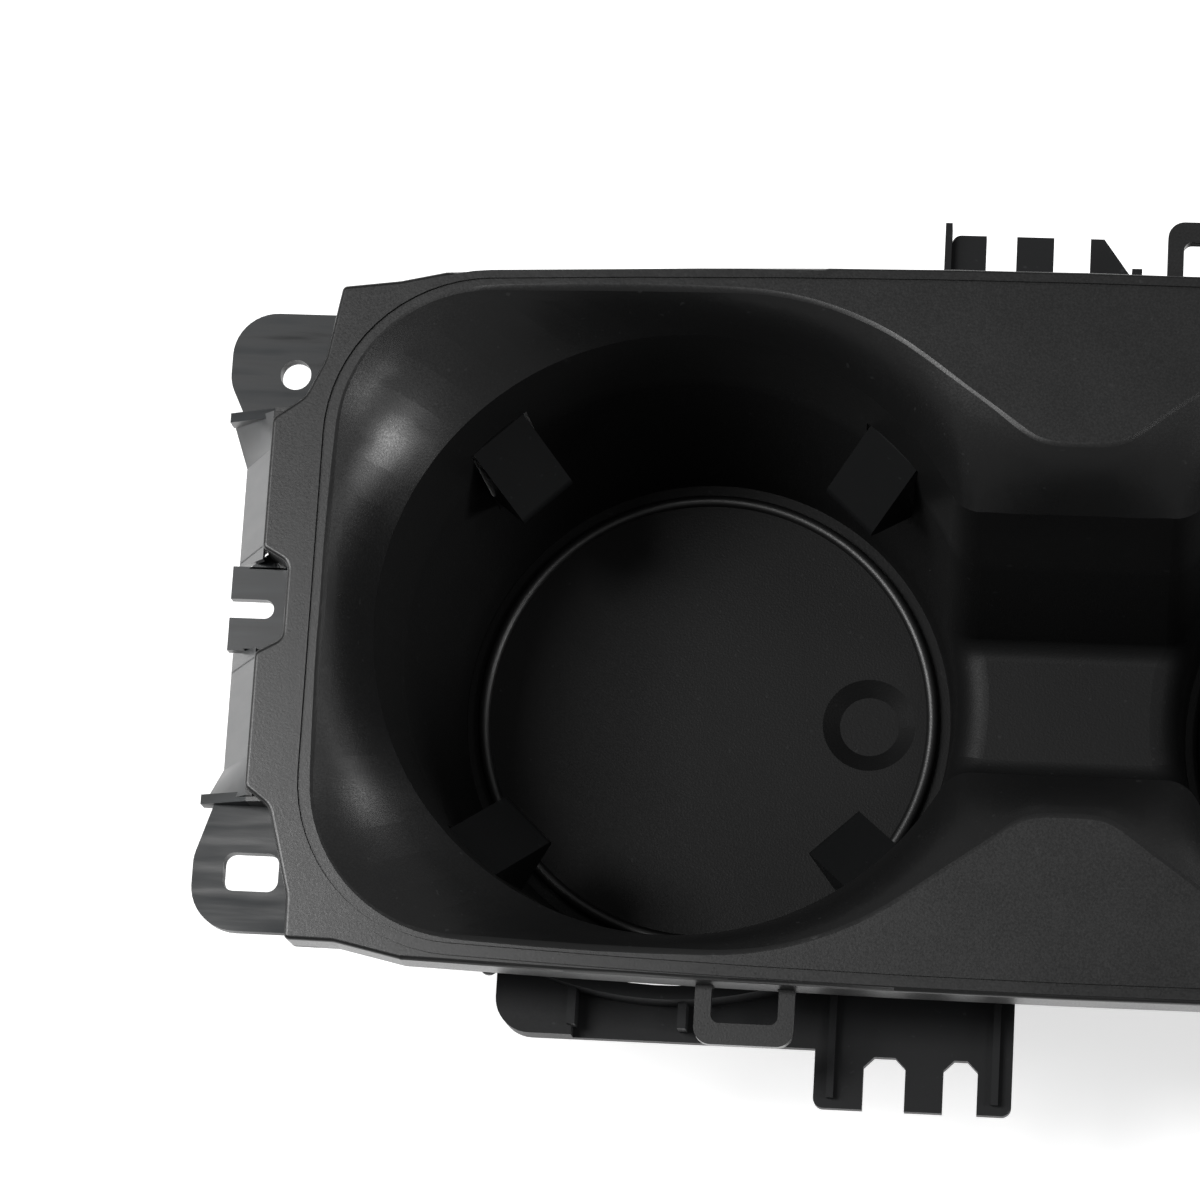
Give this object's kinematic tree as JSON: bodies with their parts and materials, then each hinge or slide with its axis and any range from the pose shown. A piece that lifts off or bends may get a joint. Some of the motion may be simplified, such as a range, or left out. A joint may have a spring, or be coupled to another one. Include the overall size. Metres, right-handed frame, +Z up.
{
  "type": "car cup holder",
  "caption": "Car console cup holder: tapered cups joined by a low bridge under a flared rim, with sprung grip fingers, mounting ears and a carrier frame below.",
  "frame": {"origin": "midway between the two cups, on the plane that the undersides of the cup floors stand on", "axes": "+X along the row of cups, +Y to the rear, +Z up out of the cups"},
  "size_m": [0.2468, 0.132, 0.0776],
  "materials": {
    "tray": "fine moulded grain",
    "carrier": "plain, slightly smoother moulding",
    "finger": "smooth moulding",
    "steel": "zinc plated"
  },
  "bodies": {
    "holder": {"cup_tray": "tray", "carrier": "carrier", "carrier_screws": "steel", "left_cup_pin_1": "steel", "left_cup_pin_2": "steel", "left_cup_pin_3": "steel", "left_cup_pin_4": "steel", "right_cup_pin_1": "steel", "right_cup_pin_2": "steel", "right_cup_pin_3": "steel", "right_cup_pin_4": "steel", "left_cup_spring_1": "steel", "left_cup_spring_2": "steel", "left_cup_spring_3": "steel", "left_cup_spring_4": "steel", "right_cup_spring_1": "steel", "right_cup_spring_2": "steel", "right_cup_spring_3": "steel", "right_cup_spring_4": "steel"},
    "left_cup_finger_1": {"left_cup_finger_1": "finger"},
    "left_cup_finger_2": {"left_cup_finger_2": "finger"},
    "left_cup_finger_3": {"left_cup_finger_3": "finger"},
    "left_cup_finger_4": {"left_cup_finger_4": "finger"},
    "right_cup_finger_1": {"right_cup_finger_1": "finger"},
    "right_cup_finger_2": {"right_cup_finger_2": "finger"},
    "right_cup_finger_3": {"right_cup_finger_3": "finger"},
    "right_cup_finger_4": {"right_cup_finger_4": "finger"}
  },
  "joints": [
    {"name": "left_cup_finger_1_pivot", "type": "hinge", "parent": "holder", "child": "left_cup_finger_1", "pos_m": [-0.02451, 0.0343, 0.052], "axis": [0.7314, -0.682, 0], "range_deg": [0, 30], "stiffness_Nm_per_rad": 0.01, "springref_deg": -28.65, "deforming": ["left_cup_spring_1"]},
    {"name": "left_cup_finger_2_pivot", "type": "hinge", "parent": "holder", "child": "left_cup_finger_2", "pos_m": [-0.08849, 0.0343, 0.052], "axis": [0.7314, 0.682, 0], "range_deg": [0, 30], "stiffness_Nm_per_rad": 0.01, "springref_deg": -28.65, "deforming": ["left_cup_spring_2"]},
    {"name": "left_cup_finger_3_pivot", "type": "hinge", "parent": "holder", "child": "left_cup_finger_3", "pos_m": [-0.08849, -0.0343, 0.052], "axis": [-0.7314, 0.682, 0], "range_deg": [0, 30], "stiffness_Nm_per_rad": 0.01, "springref_deg": -28.65, "deforming": ["left_cup_spring_3"]},
    {"name": "left_cup_finger_4_pivot", "type": "hinge", "parent": "holder", "child": "left_cup_finger_4", "pos_m": [-0.02451, -0.0343, 0.052], "axis": [-0.7314, -0.682, 0], "range_deg": [0, 30], "stiffness_Nm_per_rad": 0.01, "springref_deg": -28.65, "deforming": ["left_cup_spring_4"]},
    {"name": "right_cup_finger_1_pivot", "type": "hinge", "parent": "holder", "child": "right_cup_finger_1", "pos_m": [0.08849, 0.0343, 0.052], "axis": [0.7314, -0.682, 0], "range_deg": [0, 30], "stiffness_Nm_per_rad": 0.01, "springref_deg": -28.65, "deforming": ["right_cup_spring_1"]},
    {"name": "right_cup_finger_2_pivot", "type": "hinge", "parent": "holder", "child": "right_cup_finger_2", "pos_m": [0.02451, 0.0343, 0.052], "axis": [0.7314, 0.682, 0], "range_deg": [0, 30], "stiffness_Nm_per_rad": 0.01, "springref_deg": -28.65, "deforming": ["right_cup_spring_2"]},
    {"name": "right_cup_finger_3_pivot", "type": "hinge", "parent": "holder", "child": "right_cup_finger_3", "pos_m": [0.02451, -0.0343, 0.052], "axis": [-0.7314, 0.682, 0], "range_deg": [0, 30], "stiffness_Nm_per_rad": 0.01, "springref_deg": -28.65, "deforming": ["right_cup_spring_3"]},
    {"name": "right_cup_finger_4_pivot", "type": "hinge", "parent": "holder", "child": "right_cup_finger_4", "pos_m": [0.08849, -0.0343, 0.052], "axis": [-0.7314, -0.682, 0], "range_deg": [0, 30], "stiffness_Nm_per_rad": 0.01, "springref_deg": -28.65, "deforming": ["right_cup_spring_4"]}
  ]
}
